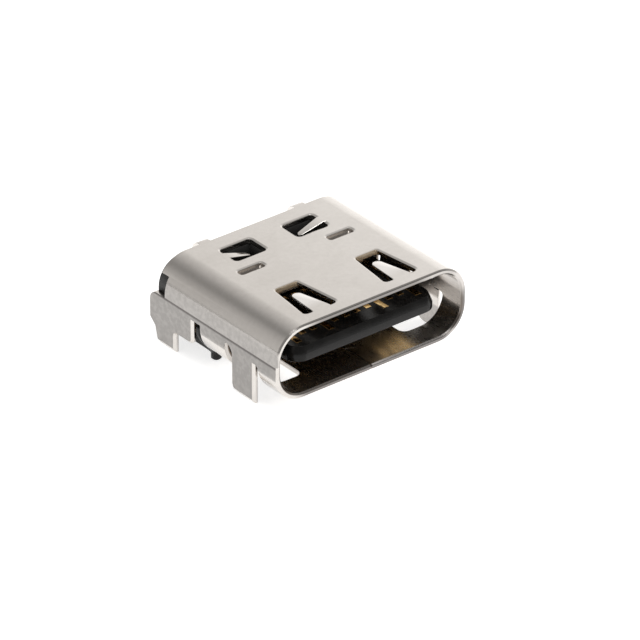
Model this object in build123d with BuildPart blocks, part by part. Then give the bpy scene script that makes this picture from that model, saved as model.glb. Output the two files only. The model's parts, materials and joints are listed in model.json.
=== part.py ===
from build123d import *
import os

# Board-mount USB-C socket: folded sheet shell round a moulded body with two contact rows.
# Sizes are in millimetres. Depths run back from the front rim, heights up from the mouth's
# middle line, and widths out from the middle plane.

# Mouth and shell sheet
opening_width = 8.34
opening_height = 2.56
opening_corner = 1.05
sheet = 0.22
rim_edge = 0.06
stand_off = 0.10
leg_reach = 0.35

# Main depths
shoulder_depth = 4.95
body_length = 2.25
shell_setback = 0.25
bottom_setback = 0.50

# Front spring tongues in the top of the shell
spring_spread = 3.70
spring_window_front = 0.61
spring_window_length = 2.05
spring_window_front_width = 1.50
spring_window_rear_width = 1.03
spring_tip_gap = 0.49
spring_root_width = 0.78
spring_tip_width = 0.42
spring_drop = 0.12

# Rear holding tongues in the top of the shell
catch_window_spread = 2.87
catch_window_width = 1.43
catch_window_setback = 0.20
catch_window_length = 1.05
catch_tip_gap = 0.395
catch_root_width = 0.42
catch_tip_width = 0.25
catch_drop = 0.29
catch_clearance = 0.26
window_corner = 0.14
roll_width = 0.08
roll_depth = 0.03

# Half-sheared pockets between the windows
pocket_spread = 4.10
pocket_setback = 0.55
pocket_length = 1.10
pocket_width = 0.30
pocket_sink = 0.16
pocket_corner = 0.08

# Rear tabs folded down behind the housing
tab_spread = 4.40
tab_width = 0.50
tab_bend = 0.42
tab_above_contacts = 0.27

# Side notches at the rear of the shell
notch_length = 0.42
notch_low = 0.12
notch_high = 0.93
notch_corner = 0.15

# Front legs
front_leg_front = 1.33
front_leg_width = 1.24
front_leg_tip_corner = 0.42
front_relief = 0.25
rear_relief = 0.44
relief_drop = 0.09
front_relief_drop = 0.25
relief_corner = 0.14
leg_flare = 0.40
leg_overlap = 0.20
leg_cut_inner = 2.33
leg_cut_corner = 0.30
leg_tip_bevel = 0.18
leg_tip_thin = 0.12
leg_edge = 0.11

# Rear legs
rear_slot = 0.47
rear_leg_drop = 1.15
rear_leg_corner = 0.24
rear_leg_shoulder = 0.38
rear_leg_taper_drop = 1.00
rear_knee_drop = 1.27
rear_knee_setback = 0.30
rear_foot_width = 0.96
rear_foot_setback = 0.48
rear_foot_corner = 0.12

# Seam along the bottom, with one dovetail
seam_gap = 0.03
seam_lock_start = 1.50
seam_lock_length = 1.00
seam_lock_width = 0.30
seam_lock_slant = 0.15

# Housing base, its front flange and the pegs
fit_gap = 0.02
base_setback = 0.03
base_inset = 0.76
flange_thickness = 0.20
flange_drop = 0.25
flange_bend_drop = 0.55
flange_knee_drop = 0.85
flange_knee_inset = 0.15
peg_radius = 0.20
peg_setback = 0.24
peg_length = 0.31
peg_lead = 0.05

# Tongue of the housing
tongue_width = 6.69
tongue_thickness = 0.70
tongue_front = 0.25
tongue_corner = 0.62
tongue_lead_height = 0.145
tongue_lead_length = 0.34
root_length = 1.10
root_inset = 0.245
root_thickness = 1.10
root_edge = 0.05

# Contacts
contact_pitch = 0.50
contact_count = 12
contact_width = 0.26
contact_thickness = 0.12
long_contact_setback = 0.47
short_contact_setback = 0.85
bend_radius = 0.16
upper_tail_gap = 0.07
upper_tail_length = 0.57
lower_tail_setback = 0.85
lower_tail_length = 0.55

# Wafers, mid plate and ground pads
plate_thickness = 0.15
plate_setback = 0.55
plate_corner = 0.30
core_setback = 1.15
core_margin = 0.07
block_margin = 0.17
block_setback = 0.25
block_height = 0.75
rear_wall = 0.30
plate_rear_gap = 0.20
tail_window_front_room = 0.30
tail_window_rear_room = 0.20
latch_setback = 1.65
latch_length = 0.80
latch_depth = 0.30
pad_thickness = 0.12
pad_inset = 0.50
pad_lip_gap = 0.07

# Shell sizes that follow
outer_width = opening_width + 2 * sheet
outer_height = opening_height + 2 * sheet
outer_corner = opening_corner + sheet
half_width = outer_width / 2
half_height = outer_height / 2
beyond = outer_width
board_height = -half_height - stand_off
leg_end = board_height - leg_reach
mouth_above_legs = -leg_end
housing_rear = shoulder_depth + body_length
shell_depth = housing_rear - shell_setback
bottom_end = shoulder_depth - bottom_setback
spring_window_rear = spring_window_front + spring_window_length
spring_length = spring_window_length - spring_tip_gap
catch_window_outer = (catch_window_spread + catch_window_width) / 2
catch_window_front = shoulder_depth + catch_window_setback
catch_length = catch_window_width - catch_tip_gap
pocket_depth = shoulder_depth - pocket_setback
tab_end_height = tongue_thickness / 2 + tab_above_contacts
relief_height = -relief_drop
front_leg_rear = front_leg_front + front_leg_width
front_leg_middle = front_leg_front + front_leg_width / 2
rear_leg_front = bottom_end + rear_slot
rear_leg_rear = housing_rear + sheet
rear_foot_rear = rear_leg_rear - rear_foot_setback
rear_foot_front = rear_foot_rear - rear_foot_width
seam_lock_end = seam_lock_start + seam_lock_length

# Housing, contact and insert sizes that follow
base_front = bottom_end + base_setback
base_width = outer_width - 2 * base_inset
peg_spread = base_width - 2 * peg_radius
flange_half = half_width - fit_gap
tab_relief = tab_bend - sheet + fit_gap
root_front = shoulder_depth - root_length
root_width = tongue_width - 2 * root_inset
contact_span = (contact_count - 1) * contact_pitch + contact_width
contact_level = tongue_thickness / 2 - contact_thickness / 2
tail_level = board_height + contact_thickness / 2
plate_level = plate_thickness / 2
plate_front = tongue_front + plate_setback
core_front = tongue_front + core_setback
core_width = contact_span + 2 * core_margin
block_front = shoulder_depth + block_setback
block_rear = housing_rear - rear_wall
block_width = contact_span + 2 * block_margin
plate_rear = block_rear - plate_rear_gap
upper_tail_run = housing_rear + upper_tail_gap + contact_thickness / 2
upper_tail_end = upper_tail_run + upper_tail_length
lower_tail_run = block_rear - lower_tail_setback
lower_tail_end = lower_tail_run + lower_tail_length
half_length = upper_tail_end / 2

os.makedirs("parts", exist_ok=True)


def section_plane(depth):
    """Upright plane across the socket: local X is width, local Y is height, facing the plug."""
    return Plane(origin=(0, depth - half_length, mouth_above_legs), x_dir=(1, 0, 0), z_dir=(0, -1, 0))


def plan_plane(height):
    """Level plane: local X is width, local Y is depth."""
    return Plane(origin=(0, -half_length, mouth_above_legs + height), x_dir=(1, 0, 0), z_dir=(0, 0, 1))


def side_plane(width):
    """Upright plane along the socket: local X is depth, local Y is height, facing +X."""
    return Plane(origin=(width, -half_length, mouth_above_legs), x_dir=(0, 1, 0), z_dir=(1, 0, 0))


def finish(piece, name):
    """Label a finished piece and write it to its own file."""
    piece.label = name
    export_step(piece, f"parts/{name}.step")


def bent_tongue(root, length, root_width, tip_width, drop):
    """Tapered sheet tongue that leaves the root plane along its X and dips by drop at its tip."""
    with BuildPart() as tongue:
        with BuildSketch(Plane(origin=root.origin, x_dir=root.x_dir, z_dir=-root.y_dir)):
            with BuildLine():
                Polyline(
                    (-sheet / 2, 0),
                    (0, 0),
                    (length, -drop),
                    (length, -drop - sheet),
                    (0, -sheet),
                    (-sheet / 2, -sheet),
                    close=True,
                )
            make_face()
        extrude(amount=root_width / 2, both=True)
        with BuildSketch(root):
            with BuildLine():
                Polyline(
                    (length - tip_width / 2, tip_width / 2),
                    (0, root_width / 2),
                    (-sheet / 2, root_width / 2),
                    (-sheet / 2, -root_width / 2),
                    (0, -root_width / 2),
                    (length - tip_width / 2, -tip_width / 2),
                )
                ThreePointArc(
                    (length - tip_width / 2, -tip_width / 2),
                    (length, 0),
                    (length - tip_width / 2, tip_width / 2),
                )
            make_face()
        extrude(amount=drop + 2 * sheet, both=True, mode=Mode.INTERSECT)
    return tongue.part


def top_point(width, depth):
    """Point on the outer top face of the shell."""
    return (width, depth - half_length, mouth_above_legs + half_height)


front_springs = [
    bent_tongue(
        Plane(top_point(side * spring_spread / 2, spring_window_front), x_dir=(0, 1, 0), z_dir=(0, 0, 1)),
        spring_length,
        spring_root_width,
        spring_tip_width,
        spring_drop,
    )
    for side in (-1, 1)
]

rear_catches = [
    bent_tongue(
        Plane(
            top_point(side * catch_window_outer, catch_window_front + catch_window_length / 2),
            x_dir=(-side, 0, 0),
            z_dir=(0, 0, 1),
        ),
        catch_length,
        catch_root_width,
        catch_tip_width,
        catch_drop,
    )
    for side in (-1, 1)
]

# Front leg: coplanar with the flat side, flared into it at the rear, round at its rear lower corner
with BuildPart() as front_leg:
    with BuildSketch(side_plane(half_width)):
        with BuildLine():
            Polyline(
                (front_leg_rear + leg_flare, relief_height),
                (front_leg_rear + leg_flare, relief_height + leg_overlap),
                (front_leg_front, relief_height + leg_overlap),
                (front_leg_front, leg_end),
                (front_leg_rear, leg_end),
                (front_leg_rear, relief_height - leg_flare),
            )
            RadiusArc(
                (front_leg_rear, relief_height - leg_flare),
                (front_leg_rear + leg_flare, relief_height),
                leg_flare,
            )
        make_face()
    extrude(amount=-sheet)
    fillet(
        front_leg.edges().filter_by(Axis.X).group_by(Axis.Z)[0].sort_by(Axis.Y)[-1:],
        front_leg_tip_corner,
    )
    front_edges = front_leg.faces().sort_by(Axis.X)[-1].edges().filter_by(Axis.Z).sort_by(Axis.Y)
    chamfer(front_edges[:1], leg_edge)

# Rear leg: broad plate with a rounded shoulder and one tapered foot
with BuildPart() as rear_leg:
    with BuildSketch(side_plane(half_width)):
        with BuildLine():
            Polyline(
                (rear_leg_front, notch_low),
                (rear_leg_front, -rear_leg_drop),
                (rear_foot_front, -rear_leg_drop),
                (rear_foot_front, leg_end),
                (rear_foot_rear, leg_end),
                (rear_leg_rear - rear_knee_setback, -rear_knee_drop),
                (rear_leg_rear, -rear_leg_taper_drop),
                (rear_leg_rear, notch_low),
                close=True,
            )
        make_face()
    extrude(amount=-sheet)
    cross_edges = rear_leg.edges().filter_by(Axis.X)
    fillet(cross_edges.group_by(Axis.Y)[0].sort_by(Axis.Z)[:1], rear_leg_corner)
    foot_place = rear_foot_front - half_length
    foot_edges = rear_leg.edges().filter_by(Axis.X).filter_by_position(Axis.Y, foot_place, foot_place)
    fillet(foot_edges.sort_by(Axis.Z)[-1:], rear_foot_corner)
    cross_edges = rear_leg.edges().filter_by(Axis.X)
    fillet(cross_edges.group_by(Axis.Y)[-1].sort_by(Axis.Z)[-1:], rear_leg_shoulder)
    front_edges = rear_leg.faces().sort_by(Axis.X)[-1].edges().filter_by(Axis.Z).sort_by(Axis.Y)
    chamfer(front_edges[:1], leg_edge)

# Shell: folded tube with its windows, tongues, pockets, tabs, legs and bottom seam
with BuildPart() as shell:
    with BuildSketch(section_plane(0)):
        RectangleRounded(outer_width, outer_height, outer_corner)
        RectangleRounded(opening_width, opening_height, opening_corner, mode=Mode.SUBTRACT)
    extrude(amount=-shell_depth)
    chamfer(shell.faces().sort_by(Axis.Y)[0].edges(), rim_edge)

    # Bottom and lower sides end ahead of the housing's base
    with BuildSketch(side_plane(0)):
        with Locations((bottom_end, relief_height)):
            Rectangle(shell_depth, half_height, align=(Align.MIN, Align.MAX))
    extrude(amount=beyond, both=True, mode=Mode.SUBTRACT)

    # Reliefs round the front legs, cut on into the bottom
    leg_cuts = [
        (front_leg_front - front_relief, front_leg_middle, front_relief_drop),
        (front_leg_middle - relief_corner, front_leg_rear + rear_relief, relief_drop),
    ]
    for side in (-1, 1):
        for start, end, drop in leg_cuts:
            with BuildSketch(side_plane(side * leg_cut_inner)):
                with Locations((start, -drop)):
                    Rectangle(end - start, 2 * half_height, align=(Align.MIN, Align.MAX))
                fillet(vertices(), relief_corner)
            extrude(amount=side * beyond, mode=Mode.SUBTRACT)
    cut_corners = shell.edges().filter_by(Axis.Z).sort_by(lambda edge: abs(edge.center().X))[:4]
    fillet(cut_corners, leg_cut_corner)

    # Notches at the rear of the sides
    for side in (-1, 1):
        with BuildSketch(side_plane(side * opening_width / 2 - side * opening_corner)):
            with Locations((shell_depth - notch_length, notch_low)):
                Rectangle(2 * notch_length, notch_high - notch_low, align=(Align.MIN, Align.MIN))
            fillet(vertices().group_by(Axis.Y)[0].sort_by(Axis.Z)[-1:], notch_corner)
        extrude(amount=side * beyond, mode=Mode.SUBTRACT)

    # Windows of the spring tongues and of the holding tongues
    with BuildSketch(plan_plane(half_height)):
        for side in (-1, 1):
            with BuildLine(Plane((side * spring_spread / 2, 0, 0))):
                Polyline(
                    (-spring_window_front_width / 2, spring_window_front),
                    (spring_window_front_width / 2, spring_window_front),
                    (spring_window_rear_width / 2, spring_window_rear),
                    (-spring_window_rear_width / 2, spring_window_rear),
                    close=True,
                )
            make_face()
            with Locations((side * catch_window_spread / 2, catch_window_front)):
                Rectangle(catch_window_width, catch_window_length, align=(Align.CENTER, Align.MIN))
        fillet(vertices(), window_corner)
    extrude(amount=-2 * sheet, mode=Mode.SUBTRACT)

    # Half-sheared pockets stand proud inside by as much as they sink
    pocket_places = [(side * pocket_spread / 2, pocket_depth) for side in (-1, 1)]
    with BuildSketch(plan_plane(half_height - sheet)):
        with Locations(*pocket_places):
            Rectangle(pocket_length, pocket_width)
    extrude(amount=-pocket_sink)
    with BuildSketch(plan_plane(half_height)):
        with Locations(*pocket_places):
            RectangleRounded(pocket_length, pocket_width, pocket_corner)
    extrude(amount=-pocket_sink, mode=Mode.SUBTRACT)

    # Rolled upper edges of the punched windows and pockets, then the tongues
    top_face = shell.faces().sort_by(Axis.Z)[-1]
    for wire in top_face.inner_wires():
        chamfer(wire.edges(), roll_width, roll_depth, reference=shell.faces().sort_by(Axis.Z)[-1])
    for tongue in front_springs + rear_catches:
        add(tongue)

    # Rear tabs
    for side in (-1, 1):
        with BuildSketch(side_plane(side * tab_spread / 2)):
            with BuildLine():
                FilletPolyline(
                    (shell_depth - sheet, half_height - sheet / 2),
                    (housing_rear + sheet / 2, half_height - sheet / 2),
                    (housing_rear + sheet / 2, tab_end_height),
                    radius=tab_bend - sheet / 2,
                )
            trace(line_width=sheet)
        extrude(amount=tab_width / 2, both=True)

    # Legs on both sides
    for leg in (front_leg, rear_leg):
        add(leg.part)
        add(mirror(leg.part, about=Plane.YZ, mode=Mode.PRIVATE))

    # Bevelled ends of the legs
    with BuildSketch(section_plane(0)):
        for side in (-1, 1):
            with BuildLine():
                Polyline(
                    (side * (half_width + leg_tip_thin), leg_end + 2 * leg_tip_bevel),
                    (side * (half_width - 2 * leg_tip_thin), leg_end - leg_tip_bevel),
                    (side * (half_width + leg_tip_thin), leg_end - leg_tip_bevel),
                    close=True,
                )
            make_face()
    extrude(amount=-rear_leg_rear, mode=Mode.SUBTRACT)

    # Bottom seam
    with BuildSketch(plan_plane(-half_height)):
        with BuildLine():
            Polyline(
                (0, -sheet),
                (0, seam_lock_start),
                (seam_lock_width, seam_lock_start - seam_lock_slant),
                (seam_lock_width, seam_lock_end + seam_lock_slant),
                (0, seam_lock_end),
                (0, bottom_end + sheet),
            )
        trace(line_width=seam_gap)
    extrude(amount=2 * sheet, both=True, mode=Mode.SUBTRACT)

finish(shell.part, "shell")


def strip(width, route):
    """Contact strip of constant thickness along a bent route of (depth, height) points."""
    with BuildPart() as contact:
        with BuildSketch(side_plane(width)):
            with BuildLine():
                FilletPolyline(*route, radius=bend_radius)
            trace(line_width=contact_thickness)
        extrude(amount=contact_width / 2, both=True)
    return contact.part


# Ground and power contacts, the first and fourth from each end, reach further forward
upper_contacts = []
lower_contacts = []
for place in range(1, contact_count + 1):
    across = (place - (contact_count + 1) / 2) * contact_pitch
    from_end = min(place, contact_count + 1 - place)
    is_long = from_end == 1 or from_end == 4
    tip = tongue_front + (long_contact_setback if is_long else short_contact_setback)
    upper_contacts.append(
        strip(
            across,
            [
                (tip, contact_level),
                (upper_tail_run, contact_level),
                (upper_tail_run, tail_level),
                (upper_tail_end, tail_level),
            ],
        )
    )
    lower_contacts.append(
        strip(
            -across,
            [
                (tip, -contact_level),
                (lower_tail_run, -contact_level),
                (lower_tail_run, tail_level),
                (lower_tail_end, tail_level),
            ],
        )
    )
    finish(upper_contacts[-1], f"contact_a{place:02d}")
    finish(lower_contacts[-1], f"contact_b{place:02d}")


def latch_sketch():
    """Outlines of the side recesses that the plug's latches hook into."""
    with BuildSketch(plan_plane(0)) as recesses:
        for side in (-1, 1):
            with Locations((side * tongue_width / 2, tongue_front + latch_setback)):
                Rectangle(2 * latch_depth, latch_length, align=(Align.CENTER, Align.MIN))
    return recesses.sketch


# Mid plate: flat steel plate between the rows, open to the tongue's sides at the latch recesses
with BuildPart() as mid_plate:
    with BuildSketch(plan_plane(0)):
        with Locations((0, plate_front)):
            Rectangle(tongue_width, shoulder_depth - plate_front, align=(Align.CENTER, Align.MIN))
        chamfer(vertices().group_by(Axis.Y)[0], plate_corner)
        with Locations((0, shoulder_depth)):
            Rectangle(core_width, plate_rear - shoulder_depth, align=(Align.CENTER, Align.MIN))
    extrude(amount=plate_level, both=True)
    add(latch_sketch())
    extrude(amount=plate_level, both=True, mode=Mode.SUBTRACT)
finish(mid_plate.part, "mid_plate")


def wafer(side, contacts):
    """Insert-moulded carrier of one contact row: thin core in the tongue, block at the rear."""
    core_height = contact_level - contact_thickness / 2 - plate_level
    with BuildPart() as carrier:
        with BuildSketch(plan_plane(side * plate_level)):
            with Locations((0, core_front)):
                Rectangle(
                    core_width,
                    block_rear - core_front,
                    align=(Align.CENTER, Align.MIN),
                )
        extrude(amount=side * core_height)
        with BuildSketch(plan_plane(side * plate_level)):
            with Locations((0, block_front)):
                Rectangle(
                    block_width,
                    block_rear - block_front,
                    align=(Align.CENTER, Align.MIN),
                )
        extrude(amount=side * (block_height - plate_level))
        add(contacts, mode=Mode.SUBTRACT)
    return carrier.part


upper_wafer = wafer(1, upper_contacts)
lower_wafer = wafer(-1, lower_contacts)
finish(upper_wafer, "upper_wafer")
finish(lower_wafer, "lower_wafer")


def ground_pad(side):
    """Folded sheet pad on the thick root of the tongue, with a lip over its front edge."""
    level = side * (root_thickness / 2 + pad_thickness / 2)
    with BuildPart() as pad:
        with BuildSketch(side_plane(0)):
            with BuildLine():
                FilletPolyline(
                    (shoulder_depth, level),
                    (root_front - pad_thickness / 2, level),
                    (root_front - pad_thickness / 2, side * (tongue_thickness / 2 + pad_lip_gap)),
                    radius=pad_thickness / 2 + fit_gap,
                )
            trace(line_width=pad_thickness)
        extrude(amount=root_width / 2 - pad_inset, both=True)
    return pad.part


upper_ground_pad = ground_pad(1)
lower_ground_pad = ground_pad(-1)
finish(upper_ground_pad, "upper_ground_pad")
finish(lower_ground_pad, "lower_ground_pad")

# Housing: tongue, thick tongue root, body that fills the rear of the shell, base and pegs
with BuildPart() as housing:
    with BuildSketch(plan_plane(0)):
        with Locations((0, tongue_front)):
            Rectangle(tongue_width, shoulder_depth - tongue_front, align=(Align.CENTER, Align.MIN))
        fillet(vertices().group_by(Axis.Y)[0], tongue_corner)
    extrude(amount=tongue_thickness / 2, both=True)
    tip_edges = housing.faces().sort_by(Axis.Y)[0].edges().filter_by(Axis.X)
    chamfer(tip_edges, tongue_lead_height, tongue_lead_length)
    add(latch_sketch())
    extrude(amount=tongue_thickness, both=True, mode=Mode.SUBTRACT)
    with BuildSketch(plan_plane(0)):
        with Locations((0, root_front)):
            Rectangle(root_width, shoulder_depth - root_front, align=(Align.CENTER, Align.MIN))
    extrude(amount=root_thickness / 2, both=True)
    root_place = root_front - half_length
    root_edges = housing.edges().filter_by(Axis.X).filter_by_position(Axis.Y, root_place, root_place)
    chamfer(root_edges.sort_by(Axis.Z)[:1] + root_edges.sort_by(Axis.Z)[-1:], root_edge)
    with BuildSketch(section_plane(shoulder_depth)):
        RectangleRounded(opening_width - 2 * fit_gap, opening_height - 2 * fit_gap, opening_corner - fit_gap)
    extrude(amount=shoulder_depth - housing_rear)

    # Eased upper rear edge where the rear tabs bend round it
    for side in (-1, 1):
        with BuildSketch(side_plane(side * tab_spread / 2)):
            with BuildLine():
                Polyline(
                    (housing_rear, opening_height / 2),
                    (housing_rear - tab_relief, opening_height / 2),
                    (housing_rear, opening_height / 2 - tab_relief),
                    close=True,
                )
            make_face()
        extrude(amount=tab_width / 2 + fit_gap, both=True, mode=Mode.SUBTRACT)

    # Base on the board: a lip level with the inside of the shell's bottom, and a foot under the body
    with BuildSketch(plan_plane(board_height)):
        with Locations((0, base_front)):
            Rectangle(base_width, housing_rear - base_front, align=(Align.CENTER, Align.MIN))
    extrude(amount=-opening_height / 2 - board_height)
    with BuildSketch(plan_plane(board_height)):
        with Locations((0, shoulder_depth)):
            Rectangle(base_width, housing_rear - shoulder_depth, align=(Align.CENTER, Align.MIN))
    extrude(amount=opening_corner - opening_height / 2 - board_height)

    # Flange behind the cut edge of the shell, open inside for the plug
    with BuildSketch(section_plane(base_front)):
        with BuildLine():
            Polyline(
                (-flange_half, -flange_drop),
                (-flange_half, -flange_bend_drop),
                (flange_knee_inset - flange_half, -flange_knee_drop),
                (-base_width / 2, board_height),
                (base_width / 2, board_height),
                (flange_half - flange_knee_inset, -flange_knee_drop),
                (flange_half, -flange_bend_drop),
                (flange_half, -flange_drop),
                close=True,
            )
        make_face()
        RectangleRounded(opening_width, opening_height, opening_corner, mode=Mode.SUBTRACT)
    extrude(amount=-flange_thickness)

    # Recesses under the holding tongues
    with BuildSketch(plan_plane(opening_height / 2)):
        for side in (-1, 1):
            with Locations((side * catch_window_spread / 2, catch_window_front)):
                Rectangle(catch_window_width, catch_window_length, align=(Align.CENTER, Align.MIN))
    extrude(amount=-catch_drop - catch_clearance, mode=Mode.SUBTRACT)

    # Window in the base over the lower tails
    with BuildSketch(plan_plane(board_height)):
        with Locations((0, lower_tail_run - tail_window_front_room)):
            Rectangle(
                block_width,
                tail_window_front_room + lower_tail_length + tail_window_rear_room,
                align=(Align.CENTER, Align.MIN),
            )
    extrude(amount=-block_height - board_height, mode=Mode.SUBTRACT)

    # Locating pegs
    peg_places = [(side * peg_spread / 2, base_front + peg_setback) for side in (-1, 1)]
    with BuildSketch(plan_plane(board_height)):
        with Locations(*peg_places):
            Circle(peg_radius)
    extrude(amount=-peg_length)
    chamfer(housing.faces().group_by(Axis.Z)[0].edges(), peg_lead)

    # Room for everything moulded in
    moulded_in = [mid_plate.part, upper_wafer, lower_wafer, upper_ground_pad, lower_ground_pad]
    add(moulded_in + upper_contacts + lower_contacts, mode=Mode.SUBTRACT)
finish(housing.part, "housing")
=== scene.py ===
"""Looks of a board-mount USB-C socket: plated sheet shell, black moulded body and gold contacts."""

import json
import logging
import math
from dataclasses import dataclass, field
from enum import Enum

import bpy
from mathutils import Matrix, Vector

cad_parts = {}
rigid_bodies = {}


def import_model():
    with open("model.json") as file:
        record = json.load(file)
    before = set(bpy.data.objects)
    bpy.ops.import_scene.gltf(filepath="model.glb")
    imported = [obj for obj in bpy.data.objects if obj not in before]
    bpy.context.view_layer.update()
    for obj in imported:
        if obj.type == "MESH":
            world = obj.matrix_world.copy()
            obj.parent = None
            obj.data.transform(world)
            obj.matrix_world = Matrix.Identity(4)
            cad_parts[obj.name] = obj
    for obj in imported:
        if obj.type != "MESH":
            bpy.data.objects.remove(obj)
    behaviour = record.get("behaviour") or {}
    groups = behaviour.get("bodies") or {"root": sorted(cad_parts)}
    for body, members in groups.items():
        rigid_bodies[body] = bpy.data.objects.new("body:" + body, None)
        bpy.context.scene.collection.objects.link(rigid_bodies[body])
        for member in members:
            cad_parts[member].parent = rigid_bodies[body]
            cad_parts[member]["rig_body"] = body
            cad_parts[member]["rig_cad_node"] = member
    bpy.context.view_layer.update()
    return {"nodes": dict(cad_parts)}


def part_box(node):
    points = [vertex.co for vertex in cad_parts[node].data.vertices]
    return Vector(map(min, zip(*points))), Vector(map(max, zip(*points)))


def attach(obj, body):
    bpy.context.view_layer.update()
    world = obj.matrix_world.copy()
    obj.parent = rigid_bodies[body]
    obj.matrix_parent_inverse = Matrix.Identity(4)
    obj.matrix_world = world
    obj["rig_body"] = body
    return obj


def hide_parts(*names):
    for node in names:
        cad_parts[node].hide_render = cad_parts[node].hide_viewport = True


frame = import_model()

LOG = logging.getLogger("socket")

MM = 0.001
BODY = "root"
# Marks of a CAD piece that its dressed copy doesn't keep.
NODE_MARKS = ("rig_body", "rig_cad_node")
# Value that a noise varies about.
NOISE_MIDDLE = 0.5
# Place of the colour among the Mix node's outputs.
COLOUR_RESULT = 2

Triple = tuple[float, float, float]
Colour = tuple[float, float, float]
Span = tuple[float, float]

NO_STRETCH: Triple = (1.0, 1.0, 1.0)
WHITE: Colour = (1.0, 1.0, 1.0)


class Slot(Enum):
    """Material slots of the part."""

    PLATED = "plated_steel"
    PLASTIC = "black_plastic"
    GOLD = "gold_plated"
    PLATE = "plate_steel"


class Signal:
    """One shader output that can be used in Python arithmetic."""

    def __init__(self, bench: "Bench", socket: bpy.types.NodeSocket) -> None:
        """Keep the socket and the bench that its new nodes go on.

        Args:
            bench: Node bench of the material.
            socket: Output socket that gives the value.
        """
        self.bench = bench
        self.socket = socket

    def _math(self, operation: str, first: "Number", second: "Number") -> "Signal":
        """Add one Math node.

        Args:
            operation: Blender's name of the operation.
            first: First operand.
            second: Second operand.

        Returns:
            The node's result.
        """
        return self.bench.signal("ShaderNodeMath", {"operation": operation}, {0: first, 1: second})

    def __add__(self, other: "Number") -> "Signal":
        """Sum."""
        return self._math("ADD", self, other)

    def __radd__(self, other: "Number") -> "Signal":
        """Sum with a number on the left."""
        return self._math("ADD", other, self)

    def __sub__(self, other: "Number") -> "Signal":
        """Difference."""
        return self._math("SUBTRACT", self, other)

    def __rsub__(self, other: "Number") -> "Signal":
        """Difference with a number on the left."""
        return self._math("SUBTRACT", other, self)

    def __mul__(self, other: "Number") -> "Signal":
        """Product."""
        return self._math("MULTIPLY", self, other)

    def __rmul__(self, other: "Number") -> "Signal":
        """Product with a number on the left."""
        return self._math("MULTIPLY", other, self)

    def __rpow__(self, other: "Number") -> "Signal":
        """Power of a number on the left."""
        return self._math("POWER", other, self)

    def size(self) -> "Signal":
        """Value without its sign."""
        return self._math("ABSOLUTE", self, 0.0)

    def positive(self) -> "Signal":
        """Value that is not let below zero."""
        return self._math("MAXIMUM", self, 0.0)

    def ramp(self, low: float, high: float, to_low: float, to_high: float) -> "Signal":
        """Smooth step between two values.

        Args:
            low: Value at which the step starts.
            high: Value at which the step ends.
            to_low: Result before the step.
            to_high: Result after the step.

        Returns:
            The eased and clamped value.
        """
        return self.bench.signal(
            "ShaderNodeMapRange",
            {"interpolation_type": "SMOOTHSTEP"},
            {"Value": self, "From Min": low, "From Max": high, "To Min": to_low, "To Max": to_high},
        )

    def rise(self, span: Span) -> "Signal":
        """Mask that goes up from 0 to 1 over a span."""
        return self.ramp(*span, 0.0, 1.0)

    def fall(self, span: Span, rest: float = 0.0) -> "Signal":
        """Mask that goes down from 1 to a rest over a span."""
        return self.ramp(*span, 1.0, rest)

    def near(self, middle: float, reach: Span) -> "Signal":
        """Mask round a middle that goes down from 1 to 0 over a span of distances."""
        return (self - middle).size().fall(reach)


Number = float | Signal


@dataclass(frozen=True)
class Spot:
    """Place in millimetres, or a direction: across the mouth, into the socket and up from the board."""

    across: Signal
    depth: Signal
    height: Signal

    def wide(self) -> Signal:
        """Distance from the middle, the same on both sides."""
        return self.across.size()


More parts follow.
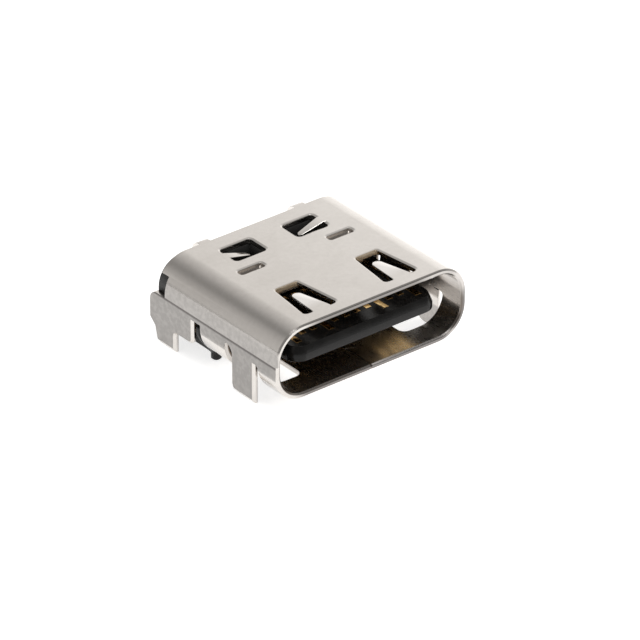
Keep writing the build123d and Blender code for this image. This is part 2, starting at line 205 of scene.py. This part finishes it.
class Bench:
    """Node tree of one material or world, with one method that adds any node."""

    def __init__(self, tree: bpy.types.NodeTree) -> None:
        """Start from an empty tree.

        Args:
            tree: Node tree that is filled.
        """
        self.tree = tree
        tree.nodes.clear()

    def node(self, kind: str, settings: dict | None = None, inputs: dict | None = None) -> bpy.types.Node:
        """Add a node.

        Args:
            kind: Blender's node type.
            settings: Properties of the node, set before its sockets.
            inputs: Socket name or index to a number, colour, vector, signal or socket.

        Returns:
            The new node.
        """
        made = self.tree.nodes.new(kind)
        for key, value in (settings or {}).items():
            setattr(made, key, value)
        for key, value in (inputs or {}).items():
            if isinstance(value, Signal):
                self.tree.links.new(value.socket, made.inputs[key])
            elif isinstance(value, bpy.types.NodeSocket):
                self.tree.links.new(value, made.inputs[key])
            else:
                made.inputs[key].default_value = value
        return made

    def signal(
        self, kind: str, settings: dict | None = None, inputs: dict | None = None, output: str | int = 0
    ) -> Signal:
        """Add a node and take one of its outputs.

        Args:
            kind: Blender's node type.
            settings: Properties of the node.
            inputs: Values or links of its sockets.
            output: Name or index of the output.

        Returns:
            The chosen output.
        """
        return Signal(self, self.node(kind, settings, inputs).outputs[output])

    def millimetres(self, stretch: Triple = NO_STRETCH) -> Signal:
        """Object coordinates in millimetres.

        Args:
            stretch: Scale of each axis; a small one draws a pattern out along that axis.

        Returns:
            The scaled position.
        """
        place = self.signal("ShaderNodeTexCoord", output="Object")
        scale = tuple(part / MM for part in stretch)
        return self.signal("ShaderNodeMapping", None, {"Vector": place, "Scale": scale})

    def parts(self, vector: Signal) -> Spot:
        """Split a vector into its three parts."""
        split = self.node("ShaderNodeSeparateXYZ", None, {0: vector})
        return Spot(*(Signal(self, part) for part in split.outputs))

    def spot(self) -> Spot:
        """Place on the piece that the material is on."""
        return self.parts(self.millimetres())

    def tint(self, mask: Number, base: Signal | Colour, cover: Colour) -> Signal:
        """Cover one colour with another.

        Args:
            mask: Share of the cover, from 0 to 1.
            base: Colour underneath.
            cover: Colour on top.

        Returns:
            The mixed colour.
        """
        under = base if isinstance(base, Signal) else solid(base)
        return self.signal(
            "ShaderNodeMix",
            {"data_type": "RGBA"},
            {"Factor": mask, "A": under, "B": solid(cover)},
            COLOUR_RESULT,
        )

    def relief(self, height: Signal, depth_mm: float, strength: float) -> Signal:
        """Bump from a height.

        Args:
            height: Height from 0 to 1.
            depth_mm: Depth of the full height, in millimetres.
            strength: Share of the bump that is used.

        Returns:
            The bent normal.
        """
        return self.signal(
            "ShaderNodeBump", None, {"Height": height, "Distance": depth_mm * MM, "Strength": strength}
        )


def solid(colour: Colour) -> tuple[float, float, float, float]:
    """Add an opaque alpha to a colour."""
    return (*colour, 1.0)


@dataclass(frozen=True)
class Pattern:
    """Noise about 0.5, with its waves per millimetre, its finer layers and the scale of each axis."""

    waves: float
    layers: float = 2.0
    stretch: Triple = NO_STRETCH

    def on(self, bench: Bench) -> Signal:
        """Lay the pattern on a material.

        Args:
            bench: Node bench of the material.

        Returns:
            The noise value.
        """
        place = bench.millimetres(self.stretch)
        return bench.signal(
            "ShaderNodeTexNoise", None, {"Vector": place, "Scale": self.waves, "Detail": self.layers}, "Fac"
        )


@dataclass(frozen=True)
class SideTone:
    """Rougher plate with painted shade on the shell's sides and legs, and a painted dark line along the
    crease that runs along them.
    """

    flat_mm: Span = (4.36, 4.385)
    crease_mm: Span = (2.08, 2.12)
    line_mm: Span = (1.97, 2.05)
    line_share: float = 0.9
    bend_mm: Span = (4.235, 4.335)
    bend_share: float = 0.84
    leg_inner_mm: Span = (4.12, 4.16)
    leg_outer_mm: Span = (4.19, 4.24)
    leg_top_mm: Span = (0.9, 1.05)
    leg_share: float = 0.6

    def below(self, spot: Spot) -> Signal:
        """Mask of all that lies below the crease."""
        return spot.height.fall(self.crease_mm)

    def matt_and_shade(self, spot: Spot) -> Signal:
        """Mask of the flat sides below the crease and of the legs' inner faces: a rougher plate with
        painted shade.

        Args:
            spot: Place on the sheet.

        Returns:
            Share of the rougher plate and of the painted shade.
        """
        side = spot.wide().rise(self.flat_mm) * self.below(spot)
        leg = spot.wide().rise(self.leg_inner_mm) * spot.wide().fall(self.leg_outer_mm)
        return side + leg * spot.height.fall(self.leg_top_mm) * self.leg_share

    def bend(self, spot: Spot) -> Signal:
        """Mask of painted shade on the foot of the bend, above the crease."""
        return spot.wide().rise(self.bend_mm) * (1.0 - self.below(spot)) * self.bend_share

    def line(self, spot: Spot) -> Signal:
        """Mask of the painted dark line of shade under the crease."""
        line = spot.height.rise(self.line_mm) * self.below(spot)
        return spot.wide().rise(self.flat_mm) * line * self.line_share


@dataclass(frozen=True)
class RimTone:
    """Painted shade on the rim round the mouth: its sheared face above and below, and its right side."""

    edge_mm: Span = (-3.91, -3.88)
    face_mm: Span = (-3.94, -3.925)
    right_mm: Span = (3.3, 4.1)
    right_foot_mm: Span = (0.5, 0.9)
    right_head_mm: Span = (1.9, 2.5)
    right_head_rest: float = 0.25
    right_share: float = 0.85
    top_mm: Span = (2.95, 3.25)
    top_left_mm: Span = (-3.3, -2.2)
    top_right_mm: Span = (1.9, 2.9)
    top_right_rest: float = 0.45
    top_share: float = 0.72
    base_mm: Span = (0.72, 0.80)
    base_left_mm: Span = (-3.6, -2.9)
    base_right_mm: Span = (3.4, 3.9)
    base_share: float = 0.4

    def rim_shade(self, spot: Spot) -> Signal:
        """Mask of the parts of the rim that get painted shade.

        Args:
            spot: Place on the sheet.

        Returns:
            Share of the grey.
        """
        right = spot.across.rise(self.right_mm) * spot.height.rise(self.right_foot_mm)
        right = right * spot.height.fall(self.right_head_mm, self.right_head_rest)
        top = spot.height.rise(self.top_mm) * spot.across.rise(self.top_left_mm)
        top = top * spot.across.fall(self.top_right_mm, self.top_right_rest)
        base = spot.height.fall(self.base_mm) * spot.across.rise(self.base_left_mm)
        base = base * spot.across.fall(self.base_right_mm) * self.base_share
        edge = spot.depth.fall(self.edge_mm) * (right * self.right_share + base)
        face = spot.depth.fall(self.face_mm) * (top * self.top_share + base)
        return edge + face * (1.0 - right)


@dataclass(frozen=True)
class MouthTone:
    """Painted brown shade inside the tube, and painted shade on the seam in its floor."""

    middle_mm: float = 1.95
    straight_across_mm: float = 3.12
    straight_up_mm: float = 0.23
    corner_mm: Span = (1.09, 1.14)
    ceiling_mm: Span = (1.7, 3.1)
    wall_mm: Span = (3.3, 4.0)
    wall_share: float = 0.6
    front_mm: float = -3.95
    floor_slant: float = 1.55
    floor_mm: Span = (-0.35, 0.35)
    floor_share: float = 0.45
    jamb_inner_mm: Span = (4.08, 4.12)
    jamb_outer_mm: Span = (4.34, 4.375)
    jamb_top_mm: Span = (2.0, 2.1)
    jamb_depth_mm: float = 1.0
    jamb_reach_mm: Span = (0.12, 0.16)
    jamb_share: float = 0.9
    seam_mm: Span = (0.03, 0.06)
    seam_share: float = 0.5

    def inside(self, spot: Spot) -> Signal:
        """Mask of the tube's inner face, which fades out below its ceiling.

        Args:
            spot: Place on the sheet.

        Returns:
            Value that is 1 on the inner face and 0 on the outer one.
        """
        out = (spot.wide() - self.straight_across_mm).positive()
        up = ((spot.height - self.middle_mm).size() - self.straight_up_mm).positive()
        within = (out * out + up * up).fall((self.corner_mm[0] ** 2, self.corner_mm[1] ** 2))
        return within * spot.height.fall(self.ceiling_mm)

    def shade(self, spot: Spot, inside: Signal) -> Signal:
        """Mask of the inner walls, the dark part of the floor and the right opening's cut edge.

        Args:
            spot: Place on the sheet.
            inside: Mask of the inner face.

        Returns:
            Share of the shade.
        """
        wall = inside * spot.wide().rise(self.wall_mm) * self.wall_share
        slanted = spot.across - (spot.depth - self.front_mm) * self.floor_slant
        floor = inside * slanted.fall(self.floor_mm) * self.floor_share
        jamb = spot.across.rise(self.jamb_inner_mm) * spot.across.fall(self.jamb_outer_mm)
        jamb = jamb * spot.height.fall(self.jamb_top_mm)
        jamb = jamb * spot.depth.near(self.jamb_depth_mm, self.jamb_reach_mm)
        return wall + floor + jamb * self.jamb_share

    def seam(self, spot: Spot, inside: Signal) -> Signal:
        """Mask of painted shade on the eased edges along the seam."""
        return inside * spot.wide().fall(self.seam_mm) * self.seam_share


@dataclass(frozen=True)
class WindowTone:
    """Tones of what is punched into the shell's top: painted shade in the pockets, a painted highlight on
    the spring tongues, and the window walls.
    """

    pocket_across_mm: float = 2.05
    pocket_across_reach_mm: Span = (0.52, 0.58)
    pocket_depth_mm: float = 0.45
    pocket_depth_reach_mm: Span = (0.14, 0.20)
    pocket_top_mm: Span = (3.32, 3.38)
    pocket_share: float = 0.32
    window_across_mm: float = 1.85
    spring_reach_mm: Span = (0.40, 0.46)
    spring_front_mm: Span = (-3.6, -3.5)
    spring_rear_mm: Span = (-1.7, -1.6)
    spring_foot_mm: Span = (3.26, 3.29)
    spring_top_mm: Span = (3.38, 3.445)
    spring_share: float = 0.9
    wall_reach_mm: Span = (0.52, 0.56)
    wall_depth_mm: float = -1.27
    wall_depth_reach_mm: Span = (0.05, 0.08)
    wall_top_mm: Span = (3.42, 3.44)

    def pocket(self, spot: Spot) -> Signal:
        """Mask of the floors of the half-sheared pockets.

        Args:
            spot: Place on the sheet.

        Returns:
            Share of the shade in the pockets.
        """
        sunk = spot.wide().near(self.pocket_across_mm, self.pocket_across_reach_mm)
        sunk = sunk * spot.depth.near(self.pocket_depth_mm, self.pocket_depth_reach_mm)
        return sunk * spot.height.fall(self.pocket_top_mm) * self.pocket_share

    def spring(self, spot: Spot) -> Signal:
        """Mask of a painted highlight on the front spring tongues where they dip.

        Args:
            spot: Place on the sheet.

        Returns:
            Share of the bright plate on them.
        """
        painted_highlight = spot.wide().near(self.window_across_mm, self.spring_reach_mm)
        painted_highlight = painted_highlight * spot.depth.rise(self.spring_front_mm) * spot.depth.fall(self.spring_rear_mm)
        painted_highlight = painted_highlight * spot.height.rise(self.spring_foot_mm) * spot.height.fall(self.spring_top_mm)
        return painted_highlight * self.spring_share

    def wall(self, spot: Spot) -> Signal:
        """Mask of the sheared walls at the rear of the front windows.

        Args:
            spot: Place on the sheet.

        Returns:
            Value that is 1 on the walls.
        """
        cut = spot.depth.near(self.wall_depth_mm, self.wall_depth_reach_mm)
        cut = cut * spot.height.fall(self.wall_top_mm)
        return cut * spot.wide().near(self.window_across_mm, self.wall_reach_mm)


@dataclass(frozen=True)
class Finish:
    """Surface of one kind of material; its subclasses paint the nodes."""

    name: str
    slot: Slot

    def paint(self, bench: Bench) -> dict:
        """Sockets of the surface shader.

        Args:
            bench: Node bench of the material.

        Returns:
            Socket name to number, colour or signal.
        """
        raise NotImplementedError

    def material(self) -> bpy.types.Material:
        """Make the material, with its shader linked to its output.

        Returns:
            The finished material.
        """
        made = bpy.data.materials.new(self.name)
        made.use_nodes = True
        bench = Bench(made.node_tree)
        shader = bench.node("ShaderNodeBsdfPrincipled", None, self.paint(bench))
        bench.node("ShaderNodeOutputMaterial", None, {"Surface": shader.outputs["BSDF"]})
        return made


@dataclass(frozen=True)
class NickelSheet(Finish):
    """Rolled steel sheet with a satin nickel plate."""

    colour: Colour = (0.795, 0.762, 0.728)
    # Darker nickel, used for random wear and for painted shade towards the left side.
    worn_and_shade: Colour = (0.635, 0.60, 0.565)
    # Painted shade on the flat sides and legs, which stands in for their dark reflection.
    side_shade: Colour = (0.285, 0.272, 0.26)
    # Painted dark, used for the line of shade under the crease, the shaded rim and the seam's eased edges.
    crease: Colour = (0.11, 0.10, 0.095)
    # Painted brown shade inside the mouth and in the pockets.
    inner: Colour = (0.15, 0.12, 0.095)
    # Painted highlight on the dipped spring tongues.
    painted_highlight: Colour = (0.97, 0.945, 0.92)
    sheared: Colour = (0.52, 0.405, 0.27)
    grain: Pattern = Pattern(38.0, 3.0, (1.0, 0.12, 1.0))
    cloud: Pattern = Pattern(0.9)
    cloud_span: Span = (0.35, 0.7)
    mottle: Pattern = Pattern(6.0, 3.0)
    mottle_span: Span = (0.3, 0.7)
    speck: Pattern = Pattern(26.0)
    worn_cloud: float = 0.15
    worn_mottle: float = 0.14
    # Painted shade: the sheet darkens from the right side towards the left one.
    shade_across_mm: Span = (-4.4, 4.4)
    shade_sides: Span = (0.55, 0.05)
    side_shade_share: float = 0.88
    side_shade_mottle: float = 0.16
    sheared_share: float = 0.7
    sheared_speck: float = 0.5
    sheared_matt: float = 0.85
    roughness: float = 0.17
    rough_grain: float = 0.10
    rough_cloud: float = 0.02
    rough_matt: float = 0.12
    rough_inside: float = 0.10
    relief_grain: float = 0.6
    relief_speck: float = 0.4
    relief_mm: float = 0.004
    relief_share: float = 0.25
    sides: SideTone = SideTone()
    rim: RimTone = RimTone()
    mouth: MouthTone = MouthTone()
    windows: WindowTone = WindowTone()

    def paint(self, bench: Bench) -> dict:
        """Fine rolling grain with clouds and pits, painted shade towards the left side, and the tones of
        the sides, rim, mouth and windows, mostly painted shade and painted highlight.

        Args:
            bench: Node bench of the material.

        Returns:
            Socket name to number or signal.
        """
        spot = bench.spot()
        grain, speck = self.grain.on(bench), self.speck.on(bench)
        cloud = self.cloud.on(bench).rise(self.cloud_span)
        mottle = self.mottle.on(bench).rise(self.mottle_span)
        matt_and_shade = self.sides.matt_and_shade(spot)
        inside = self.mouth.inside(spot)
        cut = self.windows.wall(spot)
        # Random wear from clouds and mottle, plus painted shade that darkens the sheet towards its left
        # side.
        worn_and_shade = cloud * self.worn_cloud + mottle * self.worn_mottle
        worn_and_shade = worn_and_shade + spot.across.ramp(*self.shade_across_mm, *self.shade_sides)
        # Painted shade on the flat sides, the legs' inner faces and the foot of the arc, with a random
        # mottle.
        side_shade = (matt_and_shade + self.sides.bend(spot)) * (self.side_shade_share + mottle * self.side_shade_mottle)
        # Painted shade: the dark line under the crease, the greyed rim and the seam's eased edges.
        dark = self.sides.line(spot) + self.rim.rim_shade(spot) + self.mouth.seam(spot, inside)
        # Painted shade on the mouth's inner walls and floor, the right opening's cut edge and the pocket
        # floors.
        brown = self.mouth.shade(spot, inside) + self.windows.pocket(spot)
        colour = bench.tint(worn_and_shade, self.colour, self.worn_and_shade)
        colour = bench.tint(side_shade, colour, self.side_shade)
        colour = bench.tint(dark, colour, self.crease)
        colour = bench.tint(brown, colour, self.inner)
        # Painted highlight on the spring tongues where they dip.
        colour = bench.tint(self.windows.spring(spot), colour, self.painted_highlight)
        colour = bench.tint(cut * (self.sheared_share + speck * self.sheared_speck), colour, self.sheared)
        rough = self.roughness + (grain - NOISE_MIDDLE) * self.rough_grain + cloud * self.rough_cloud
        rough = rough + matt_and_shade * self.rough_matt + inside * self.rough_inside
        pits = grain * self.relief_grain + speck * self.relief_speck
        return {
            "Base Color": colour,
            "Metallic": 1.0 - cut * self.sheared_matt,
            "Roughness": rough,
            "Normal": bench.relief(pits, self.relief_mm, self.relief_share),
        }


@dataclass(frozen=True)
class MouldedPlastic(Finish):
    """Black glass-filled plastic with the fine skin of its mould."""

    colour: Colour = (0.012, 0.0115, 0.011)
    rubbed: Colour = (0.024, 0.023, 0.022)
    # Lighter plastic: scuffs on the body, and a painted highlight on the tongue's front.
    scuffed_and_lit: Colour = (0.047, 0.046, 0.045)
    flow: Pattern = Pattern(1.6, 3.0, (1.0, 0.35, 1.0))
    flow_span: Span = (0.4, 0.75)
    flow_share: float = 0.6
    skin: Pattern = Pattern(30.0)
    nose_mm: Span = (-3.69, -3.66)
    nose_wide_mm: Span = (2.78, 2.86)
    body_mm: Span = (1.1, 1.3)
    rear_mm: Span = (2.4, 2.6)
    rear_rest: float = 0.6
    root_mm: Span = (-1.6, -1.4)
    polished: float = 0.18
    rough_more: float = 0.24
    rough_skin: float = 0.15
    rough_flow: float = 0.05
    specular: float = 0.22
    relief_mm: float = 0.006
    relief_share: float = 0.35

    def paint(self, bench: Bench) -> dict:
        """Flow clouds and a pitted skin: polished on the tongue and rougher on its front and on the body;
        the tongue's front lighter with a painted highlight, and the body lighter with scuffs.

        Args:
            bench: Node bench of the material.

        Returns:
            Socket name to number or signal.
        """
        spot = bench.spot()
        flow = self.flow.on(bench).rise(self.flow_span)
        skin = self.skin.on(bench)
        # The tongue's front carries a painted highlight; the body is lighter with scuffs.
        nose = spot.depth.fall(self.nose_mm) * spot.wide().fall(self.nose_wide_mm)
        body = spot.depth.rise(self.body_mm) * spot.depth.fall(self.rear_mm, self.rear_rest)
        colour = bench.tint(flow * self.flow_share, self.colour, self.rubbed)
        rough = (nose + spot.depth.rise(self.root_mm)) * self.rough_more + self.polished
        rough = rough + (skin - NOISE_MIDDLE) * self.rough_skin + flow * self.rough_flow
        return {
            "Base Color": bench.tint(nose + body, colour, self.scuffed_and_lit),
            "Roughness": rough,
            "Specular IOR Level": self.specular,
            "Normal": bench.relief(skin, self.relief_mm, self.relief_share),
        }


@dataclass(frozen=True)
class GoldPlate(Finish):
    """Copper alloy strip with gold plate, darker on the upper row with painted shade, and paler towards its
    solder tail.
    """

    colour: Colour = (0.95, 0.66, 0.30)
    # Painted shade of the upper row.
    upper_shade: Colour = (0.34, 0.205, 0.072)
    tail: Colour = (0.78, 0.64, 0.40)
    lines: Pattern = Pattern(60.0, 2.0, (1.0, 0.1, 1.0))
    cloud: Pattern = Pattern(2.5)
    upper_mm: Span = (1.9, 2.0)
    # Two upper contacts keep the full gold as a painted glint.
    glint_across_mm: float = 1.0
    glint_reach_mm: Span = (0.40, 0.45)
    tail_mm: Span = (2.0, 3.4)
    tail_share: float = 0.7
    roughness: float = 0.07
    rough_lines: float = 0.06
    rough_cloud: float = 0.03
    relief_mm: float = 0.002
    relief_share: float = 0.1

    def paint(self, bench: Bench) -> dict:
        """Fine stamping lines, painted shade on the upper row except two contacts kept as a painted glint,
        and a paler plate behind the housing.

        Args:
            bench: Node bench of the material.

        Returns:
            Socket name to number or signal.
        """
        spot = bench.spot()
        lines = self.lines.on(bench)
        # Painted glint: two contacts here are kept out of the upper row's painted shade.
        painted_glint = spot.across.near(self.glint_across_mm, self.glint_reach_mm)
        plate = bench.tint(spot.height.rise(self.upper_mm) * (1.0 - painted_glint), self.colour, self.upper_shade)
        rough = self.roughness + (lines - NOISE_MIDDLE) * self.rough_lines
        return {
            "Base Color": bench.tint(spot.depth.rise(self.tail_mm) * self.tail_share, plate, self.tail),
            "Metallic": 1.0,
            "Roughness": rough + self.cloud.on(bench) * self.rough_cloud,
            "Normal": bench.relief(lines, self.relief_mm, self.relief_share),
        }


@dataclass(frozen=True)
class StampedSteel(Finish):
    """Bare steel strip with a matte, warm rolled skin."""

    colour: Colour = (0.68, 0.60, 0.50)
    dark: Colour = (0.54, 0.475, 0.40)
    lines: Pattern = Pattern(45.0, 2.0, (0.12, 1.0, 1.0))
    cloud: Pattern = Pattern(1.4)
    cloud_span: Span = (0.35, 0.7)
    cloud_share: float = 0.6
    metallic: float = 0.45
    roughness: float = 0.33
    rough_lines: float = 0.16
    relief_mm: float = 0.004
    relief_share: float = 0.2

    def paint(self, bench: Bench) -> dict:
        """Rolling lines and soft clouds.

        Args:
            bench: Node bench of the material.

        Returns:
            Socket name to number or signal.
        """
        lines = self.lines.on(bench)
        cloud = self.cloud.on(bench).rise(self.cloud_span)
        return {
            "Base Color": bench.tint(cloud * self.cloud_share, self.colour, self.dark),
            "Metallic": self.metallic,
            "Roughness": self.roughness + (lines - NOISE_MIDDLE) * self.rough_lines,
            "Normal": bench.relief(lines, self.relief_mm, self.relief_share),
        }


@dataclass
class Stamping:
    """Pieces that share a finish and whose edges are eased in the same way."""

    nodes: tuple[str, ...]
    finish: Finish
    edge_mm: float
    edge_steps: int = 2
    sharp_deg: float = 50.0
    smooth_deg: float = 50.0
    flat_deg: float = 0.4
    weld_mm: float = 0.0002
    flat_weight: int = 100

    def build(self) -> list[bpy.types.Object]:
        """Copy each CAD piece, ease its edges and dress it.

        Returns:
            The dressed pieces, in the order of the nodes.
        """
        surface = self.finish.material()
        pieces = []
        for node in self.nodes:
            piece = self.eased_copy(node)
            self.dress(piece, node, surface)
            pieces.append(piece)
        return pieces

    def dress(self, piece: bpy.types.Object, node: str, surface: bpy.types.Material) -> None:
        """Give a piece its material and put it in the place of its CAD piece.

        Args:
            piece: Piece with its final mesh.
            node: Name of the CAD piece.
            surface: Material of the group.
        """
        piece.data.materials.clear()
        piece.data.materials.append(surface)
        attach(piece, BODY)
        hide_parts(node)

    def eased_copy(self, node: str) -> bpy.types.Object:
        """Copy a CAD piece with welded corners, rounded edges and smooth curved faces.

        Args:
            node: Name of the CAD piece.

        Returns:
            The new piece, which sits at the origin.
        """
        source = frame["nodes"][node]
        bpy.ops.object.select_all(action="DESELECT")
        source.select_set(True)
        bpy.context.view_layer.objects.active = source
        bpy.ops.object.duplicate()
        piece = bpy.context.view_layer.objects.active
        piece.name = f"{node}_finished"
        piece.parent = None
        for mark in NODE_MARKS:
            del piece[mark]
        self.weld()
        self.round_edges(piece)
        return piece

    def weld(self) -> None:
        """Merge the active piece's loose triangles and join those that lie in one plane."""
        bpy.ops.object.mode_set(mode="EDIT")
        bpy.ops.mesh.select_all(action="SELECT")
        bpy.ops.mesh.remove_doubles(threshold=self.weld_mm * MM)
        bpy.ops.mesh.customdata_custom_splitnormals_clear()
        bpy.ops.mesh.dissolve_limited(angle_limit=math.radians(self.flat_deg))
        bpy.ops.object.mode_set(mode="OBJECT")

    def round_edges(self, piece: bpy.types.Object) -> None:
        """Round the sheared or moulded edges and shade the bends smooth.

        Args:
            piece: Active piece, already welded.
        """
        bevel = piece.modifiers.new("edge", "BEVEL")
        bevel.width = self.edge_mm * MM
        bevel.segments = self.edge_steps
        bevel.limit_method = "ANGLE"
        bevel.angle_limit = math.radians(self.sharp_deg)
        bevel.use_clamp_overlap = False
        bevel.harden_normals = False
        bpy.ops.object.modifier_apply(modifier=bevel.name)
        bpy.ops.object.shade_smooth_by_angle(angle=math.radians(self.smooth_deg))
        weigh = piece.modifiers.new("flats", "WEIGHTED_NORMAL")
        weigh.mode = "FACE_AREA"
        weigh.weight = self.flat_weight
        weigh.keep_sharp = True
        bpy.ops.object.modifier_apply(modifier=weigh.name)


def contacts() -> tuple[str, ...]:
    """Names of the contact nodes, upper row first."""
    return tuple(sorted(name for name in frame["nodes"] if name.startswith("contact_")))


@dataclass
class Shell(Stamping):
    """Folded sheet shell with its spring tongues, rear tabs and legs."""

    nodes: tuple[str, ...] = ("shell",)
    finish: Finish = NickelSheet("nickel_sheet", Slot.PLATED)
    edge_mm: float = 0.024
    edge_steps: int = 3
    smooth_deg: float = 19.0


@dataclass
class MouldedBody(Stamping):
    """Housing with the tongue and pegs, and the two carriers of the contact rows."""

    nodes: tuple[str, ...] = ("housing", "upper_wafer", "lower_wafer")
    finish: Finish = MouldedPlastic("moulded_plastic", Slot.PLASTIC)
    edge_mm: float = 0.015


@dataclass
class InnerPlates(Stamping):
    """Plate between the contact rows and the two ground pads at the root of the tongue."""

    nodes: tuple[str, ...] = ("mid_plate", "upper_ground_pad", "lower_ground_pad")
    finish: Finish = StampedSteel("stamped_steel", Slot.PLATE)
    edge_mm: float = 0.012


@dataclass
class ContactRows(Stamping):
    """Upper and lower rows of bent contacts."""

    nodes: tuple[str, ...] = field(default_factory=contacts)
    finish: Finish = GoldPlate("gold_plate", Slot.GOLD)
    edge_mm: float = 0.012


def towards(azimuth: float, elevation: float) -> Vector:
    """Direction from the socket, with azimuth 0 behind it and 90 at its right.

    Args:
        azimuth: Angle from +Y towards +X, in degrees.
        elevation: Angle above the horizon, in degrees.

    Returns:
        Unit vector.
    """
    turn, rise = math.radians(azimuth), math.radians(elevation)
    return Vector((math.sin(turn) * math.cos(rise), math.cos(turn) * math.cos(rise), math.sin(rise)))


@dataclass(frozen=True)
class Lobe:
    """Round patch of the sky that fades out from its middle; a larger tight makes it smaller."""

    azimuth: float
    elevation: float
    level: float
    tight: float

    def on(self, bench: Bench, look: Signal) -> Signal:
        """Light of the patch.

        Args:
            bench: Node bench of the sky.
            look: Direction of the ray.

        Returns:
            Value that is the level in the middle.
        """
        facing = bench.signal(
            "ShaderNodeVectorMath",
            {"operation": "DOT_PRODUCT"},
            {0: look, 1: towards(self.azimuth, self.elevation)},
            "Value",
        )
        return math.e ** ((facing - 1.0) * self.tight) * self.level


@dataclass
class Studio:
    """Floor, light and camera round the socket."""

    floor_half: float = 0.6
    floor_colour: Colour = (0.80, 0.80, 0.80)
    floor_pale: Colour = (0.82, 0.82, 0.82)
    floor_cloud: Pattern = Pattern(0.08)
    floor_cloud_share: float = 0.1
    floor_lift: float = 0.74
    camera_az: float = 218.553
    camera_el: float = 30.104
    camera_from_mouth: Triple = (-0.141705, -0.174815, 0.131048)
    camera_near: float = 0.01
    lens: float = 407.35
    sensor: float = 36.0
    shell_half_height: float = 1.50 * MM
    key_az: float = 184.0
    key_el: float = 68.0
    key_strength: float = 1.0
    key_spread: float = 36.0
    sky_colour: Colour = (1.0, 0.985, 0.965)
    sky_rise: Span = (0.0, 0.75)
    sky_level: Span = (0.62, 0.52)
    sky_front: Span = (-0.5, 0.2)
    sky_front_level: float = 0.45
    glow: Lobe = Lobe(58.0, 12.0, 0.62, 5.5)
    gap: Lobe = Lobe(-20.0, 45.0, 0.24, 25.0)

    def build(self) -> None:
        """Make the floor, the sky, the lamp and the camera."""
        self.make_floor()
        self.make_sky()
        self.make_key()
        self.make_camera()
        bpy.context.scene.view_settings.view_transform = "Standard"

    def make_floor(self) -> None:
        """Pale floor that stays white and keeps the socket's shadow."""
        bpy.ops.object.select_all(action="DESELECT")
        bpy.ops.mesh.primitive_plane_add(size=2 * self.floor_half)
        floor = bpy.context.view_layer.objects.active
        floor.name = "floor"
        surface = bpy.data.materials.new("pale_floor")
        surface.use_nodes = True
        bench = Bench(surface.node_tree)
        light = bench.node("ShaderNodeLightPath")
        seen = Signal(bench, light.outputs["Is Camera Ray"]) + Signal(bench, light.outputs["Is Glossy Ray"])
        seen = seen + Signal(bench, light.outputs["Is Transmission Ray"])
        cloud = self.floor_cloud.on(bench) * self.floor_cloud_share
        shade = bench.tint(cloud, self.floor_colour, self.floor_pale)
        base = bench.node("ShaderNodeBsdfDiffuse", None, {"Color": shade})
        lift = bench.node(
            "ShaderNodeEmission", None, {"Color": solid(WHITE), "Strength": seen * self.floor_lift}
        )
        both = bench.node("ShaderNodeAddShader", None, {0: base.outputs[0], 1: lift.outputs[0]})
        bench.node("ShaderNodeOutputMaterial", None, {"Surface": both.outputs[0]})
        floor.data.materials.append(surface)

    def make_sky(self) -> None:
        """Grey room, darker overhead and in front, that glows low at the right and has a dark gap."""
        world = bpy.data.worlds.new("room")
        bpy.context.scene.world = world
        world.use_nodes = True
        bench = Bench(world.node_tree)
        look = bench.signal("ShaderNodeTexCoord", output="Generated")
        way = bench.parts(look)
        sky = way.height.ramp(*self.sky_rise, *self.sky_level)
        sky = sky + self.glow.on(bench, look) - self.gap.on(bench, look)
        level = sky * way.depth.ramp(*self.sky_front, self.sky_front_level, 1.0)
        glow = bench.node(
            "ShaderNodeBackground", None, {"Color": solid(self.sky_colour), "Strength": level}
        )
        bench.node("ShaderNodeOutputWorld", None, {"Surface": glow.outputs[0]})

    def make_key(self) -> None:
        """Broad lamp high over the front that keeps the shadow behind the socket."""
        bpy.ops.object.light_add(type="SUN")
        key = bpy.context.view_layer.objects.active
        key.name = "key"
        key.data.energy = self.key_strength
        key.data.angle = math.radians(self.key_spread)
        key.rotation_mode = "QUATERNION"
        key.rotation_quaternion = towards(self.key_az, self.key_el).to_track_quat("Z", "Y")

    def make_camera(self) -> None:
        """Long lens at the photograph's viewing angle."""
        low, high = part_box("shell")
        mouth = Vector((0.0, low.y, high.z - self.shell_half_height))
        data = bpy.data.cameras.new("camera")
        data.lens = self.lens
        data.sensor_width = self.sensor
        data.clip_start = self.camera_near
        camera = bpy.data.objects.new("camera", data)
        bpy.context.scene.collection.objects.link(camera)
        camera.location = mouth + Vector(self.camera_from_mouth)
        camera.rotation_mode = "QUATERNION"
        camera.rotation_quaternion = towards(self.camera_az, self.camera_el).to_track_quat("Z", "Y")
        bpy.context.scene.camera = camera


def main() -> None:
    """Dress each sub-assembly, then set up the studio."""
    logging.basicConfig(level=logging.INFO, format="%(message)s")
    for group in (Shell(), MouldedBody(), InnerPlates(), ContactRows()):
        for piece in group.build():
            LOG.info("%s: %d faces", piece.name, len(piece.data.polygons))
    Studio().build()


if __name__ == "__main__":
    main()
